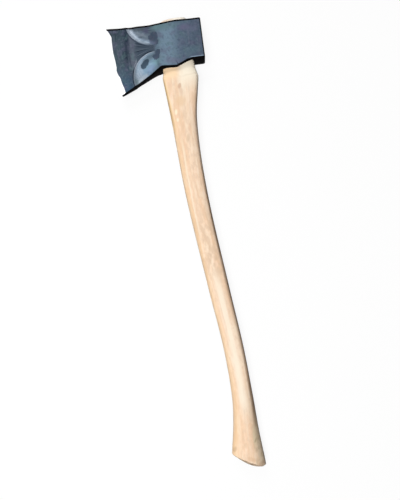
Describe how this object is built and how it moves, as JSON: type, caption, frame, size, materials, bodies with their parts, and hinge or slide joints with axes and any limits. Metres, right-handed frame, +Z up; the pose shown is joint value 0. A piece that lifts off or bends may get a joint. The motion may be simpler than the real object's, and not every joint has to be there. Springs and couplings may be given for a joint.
{
  "type": "axe",
  "caption": "Single-bit axe with a flared bit, pointed lugs and scooped cheeks on a curved hardwood haft with a slanted swollen foot, lying on its side.",
  "frame": {"origin": "on the lower cheek, directly under the middle of the eye, in the plane the axe lies on", "axes": "X runs back from the cutting edge to the poll, Y runs up the haft to the crown of the head, Z points up across the cheeks"},
  "size_m": [0.1874, 0.8109, 0.0325],
  "materials": {
    "head_steel": "dark blue-grey forged and blackened steel with a bright ground bevel along the edge",
    "haft_wood": "pale hickory, sanded and lightly oiled",
    "wedge_wood": "darker plain hardwood",
    "wedge_steel": "plain mild steel"
  },
  "bodies": {
    "root": {"head": "head_steel", "haft": "haft_wood", "kerf_wedge": "wedge_wood", "front_steel_wedge": "wedge_steel", "rear_steel_wedge": "wedge_steel"}
  },
  "joints": []
}
